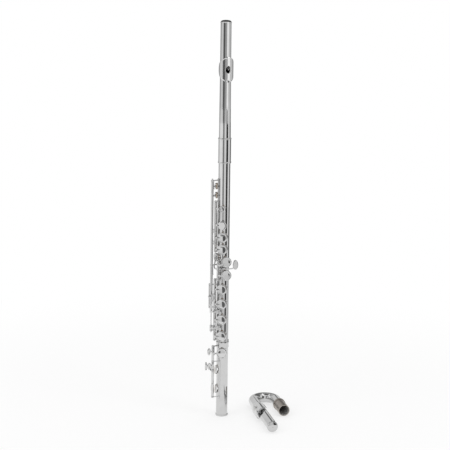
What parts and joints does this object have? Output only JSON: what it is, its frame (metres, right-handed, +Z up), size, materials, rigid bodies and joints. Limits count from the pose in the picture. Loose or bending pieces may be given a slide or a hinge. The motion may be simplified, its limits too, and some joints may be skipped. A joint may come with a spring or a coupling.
{
  "type": "flute",
  "caption": "Closed-hole concert flute standing on its foot joint with the straight head fitted, and its spare curved head joint lying beside it",
  "frame": {"origin": "Middle of the whole set's footprint, on the surface that it stands on; the axis of the upright tube is 44.7 mm to the -X side of it and 5.7 mm to the +Y side", "axes": "+Z runs up the flute's tube to the crown, the keys face -Y, and the rods run on the -X side"},
  "size_m": [0.1464, 0.169, 0.6812],
  "materials": {
    "silver": "bright silver plate",
    "satin": "satin nickel-silver tenon",
    "felt": "tan fish-skin felt pad",
    "cork": "natural cork"
  },
  "bodies": {
    "root": {"body_tube": "silver", "barrel": "silver", "lower_rib": "silver", "upper_rib": "silver", "offset_rib": "silver", "thumb_rib": "silver", "right_hand_steel": "silver", "left_hand_steel": "silver", "side_lever_steel": "silver", "curved_head_tube": "silver", "curved_tenon": "satin", "curved_lip_plate": "silver"},
    "head": {"head_tube": "silver", "head_lip_plate": "silver"},
    "crown": {"head_crown": "silver"},
    "stopper": {"head_stopper_screw": "silver", "head_stopper_cork": "cork"},
    "curved_crown_body": {"curved_crown": "silver"},
    "curved_stopper": {"curved_stopper_screw": "silver", "curved_stopper_cork": "cork"},
    "foot": {"foot_tube": "silver", "foot_rib": "silver"},
    "foot_c": {"foot_c_key": "silver", "foot_c_pad": "felt", "foot_steel": "silver", "foot_c_touch": "silver"},
    "foot_roller_body": {"foot_roller": "silver"},
    "foot_c_sharp": {"foot_c_sharp_key": "silver", "foot_c_sharp_pad": "felt"},
    "foot_d_sharp": {"foot_d_sharp_key": "silver", "foot_d_sharp_pad": "felt"},
    "g_pair": {"g_rod": "silver", "g_lower_key": "silver", "g_lower_pad": "felt", "g_upper_key": "silver", "g_upper_pad": "felt"},
    "thumb_b_flat": {"thumb_b_flat_lever": "silver"},
    "side_lever": {"b_flat_side_lever": "silver"},
    "d_body": {"d_key": "silver", "d_pad": "felt"},
    "e_body": {"e_key": "silver", "e_pad": "felt"},
    "f_body": {"f_key": "silver", "f_pad": "felt"},
    "f_sharp_body": {"f_sharp_key": "silver", "f_sharp_pad": "felt"},
    "a_body": {"a_key": "silver", "a_pad": "felt"},
    "b_flat_body": {"b_flat_key": "silver", "b_flat_pad": "felt"},
    "c_sharp_body": {"c_sharp_key": "silver", "c_sharp_pad": "felt"},
    "g_sharp_body": {"g_sharp_key": "silver", "g_sharp_pad": "felt"},
    "thumb_b_body": {"thumb_b_key": "silver", "thumb_b_pad": "felt"},
    "d_trill_body": {"d_trill_key": "silver", "d_trill_pad": "felt"},
    "d_sharp_trill_body": {"d_sharp_trill_key": "silver", "d_sharp_trill_pad": "felt"}
  },
  "joints": [
    {"name": "d_press", "type": "hinge", "parent": "root", "child": "d_body", "pos_m": [-0.05822, -0.00227, 0.2], "axis": [0, 0, 1], "range_deg": [0, 11.1], "stiffness_Nm_per_rad": 0.02, "springref_deg": -11.46},
    {"name": "e_press", "type": "hinge", "parent": "root", "child": "e_body", "pos_m": [-0.05822, -0.00227, 0.2], "axis": [0, 0, 1], "range_deg": [0, 11.1], "stiffness_Nm_per_rad": 0.02, "springref_deg": -11.46},
    {"name": "f_press", "type": "hinge", "parent": "root", "child": "f_body", "pos_m": [-0.05822, -0.00227, 0.2], "axis": [0, 0, 1], "range_deg": [0, 11.1], "stiffness_Nm_per_rad": 0.02, "springref_deg": -11.46},
    {"name": "a_press", "type": "hinge", "parent": "root", "child": "a_body", "pos_m": [-0.05822, -0.00227, 0.2], "axis": [0, 0, 1], "range_deg": [0, 11.1], "stiffness_Nm_per_rad": 0.02, "springref_deg": -11.46},
    {"name": "c_sharp_press", "type": "hinge", "parent": "root", "child": "c_sharp_body", "pos_m": [-0.05822, -0.00227, 0.2], "axis": [0, 0, 1], "range_deg": [0, 11.1], "stiffness_Nm_per_rad": 0.02, "springref_deg": -11.46},
    {"name": "f_sharp_close", "type": "hinge", "parent": "root", "child": "f_sharp_body", "pos_m": [-0.05822, -0.00227, 0.2], "axis": [0, 0, 1], "range_deg": [0, 11.1], "stiffness_Nm_per_rad": 0.02, "springref_deg": -11.46},
    {"name": "b_flat_close", "type": "hinge", "parent": "root", "child": "b_flat_body", "pos_m": [-0.05822, -0.00227, 0.2], "axis": [0, 0, 1], "range_deg": [0, 11.1], "stiffness_Nm_per_rad": 0.02, "springref_deg": -11.46},
    {"name": "g_press", "type": "hinge", "parent": "root", "child": "g_pair", "pos_m": [-0.05272, -0.00827, 0.26], "axis": [0, 0, 1], "range_deg": [0, 11.24], "stiffness_Nm_per_rad": 0.02, "springref_deg": -11.46},
    {"name": "g_sharp_press", "type": "hinge", "parent": "root", "child": "g_sharp_body", "pos_m": [-0.05272, -0.00827, 0.26], "axis": [0, 0, 1], "range_deg": [0, 8.5], "stiffness_Nm_per_rad": 0.02, "springref_deg": -11.46},
    {"name": "thumb_b_press", "type": "hinge", "parent": "root", "child": "thumb_b_body", "pos_m": [-0.05722, 0.01523, 0.33], "axis": [0, 0, -1], "range_deg": [0, 12], "stiffness_Nm_per_rad": 0.02, "springref_deg": -11.46},
    {"name": "thumb_b_flat_press", "type": "hinge", "parent": "root", "child": "thumb_b_flat", "pos_m": [-0.05722, 0.01523, 0.33], "axis": [0, 0, -1], "range_deg": [0, 12], "stiffness_Nm_per_rad": 0.02, "springref_deg": -11.46},
    {"name": "d_trill_press", "type": "hinge", "parent": "root", "child": "d_trill_body", "pos_m": [-0.06422, -0.00227, 0.3], "axis": [0, 0, 1], "range_deg": [0, 9], "stiffness_Nm_per_rad": 0.02, "springref_deg": -11.46},
    {"name": "d_sharp_trill_press", "type": "hinge", "parent": "root", "child": "d_sharp_trill_body", "pos_m": [-0.06422, -0.00227, 0.3], "axis": [0, 0, 1], "range_deg": [0, 9], "stiffness_Nm_per_rad": 0.02, "springref_deg": -11.46},
    {"name": "side_lever_press", "type": "hinge", "parent": "root", "child": "side_lever", "pos_m": [-0.06702, 0.00323, 0.21], "axis": [0, 0, 1], "range_deg": [0, 7], "stiffness_Nm_per_rad": 0.02, "springref_deg": -11.46},
    {"name": "foot_d_sharp_press", "type": "hinge", "parent": "foot", "child": "foot_d_sharp", "pos_m": [-0.06022, -0.00727, 0.09], "axis": [0, 0, -1], "range_deg": [0, 9.5], "stiffness_Nm_per_rad": 0.02, "springref_deg": -11.46},
    {"name": "foot_c_sharp_press", "type": "hinge", "parent": "foot", "child": "foot_c_sharp", "pos_m": [-0.06022, -0.00727, 0.09], "axis": [0, 0, -1], "range_deg": [0, 10.98], "stiffness_Nm_per_rad": 0.02, "springref_deg": -11.46},
    {"name": "foot_c_press", "type": "hinge", "parent": "foot", "child": "foot_c", "pos_m": [-0.06022, -0.00727, 0.09], "axis": [0, 0, -1], "range_deg": [0, 10.98], "stiffness_Nm_per_rad": 0.02, "springref_deg": -11.46},
    {"name": "foot_roller_spin", "type": "hinge", "parent": "foot_c", "child": "foot_roller_body", "pos_m": [-0.07116, -0.01285, 0.0918], "axis": [0, 0, 1], "continuous": true},
    {"name": "head_draw", "type": "slide", "parent": "root", "child": "head", "axis": [0, 0, 1], "range_m": [-0.005, 0.012]},
    {"name": "foot_turn", "type": "hinge", "parent": "root", "child": "foot", "pos_m": [-0.04472, 0.00573, 0.12], "axis": [0, 0, 1], "continuous": true},
    {"name": "crown_turn", "type": "hinge", "parent": "head", "child": "crown", "pos_m": [-0.04472, 0.00573, 0.676], "axis": [0, 0, 1], "range_deg": [-360, 360]},
    {"name": "stopper_travel", "type": "slide", "parent": "head", "child": "stopper", "axis": [0, 0, 1], "range_m": [-0.00105, 0.00105]},
    {"name": "curved_crown_turn", "type": "hinge", "parent": "root", "child": "curved_crown_body", "pos_m": [0.02554, -0.00553, 0.0109], "axis": [0.2756, -0.9613, 0], "range_deg": [-360, 360]},
    {"name": "curved_stopper_travel", "type": "slide", "parent": "root", "child": "curved_stopper", "axis": [0.2756, -0.9613, 0], "range_m": [-0.00105, 0.00105]}
  ],
  "couplings": [
    {"joint": "f_sharp_close", "follows": "f_press", "ratio": 1},
    {"joint": "b_flat_close", "follows": "a_press", "ratio": 1},
    {"joint": "stopper_travel", "follows": "crown_turn", "m_per_rad": -0.00015915},
    {"joint": "curved_stopper_travel", "follows": "curved_crown_turn", "m_per_rad": -0.00015915}
  ]
}
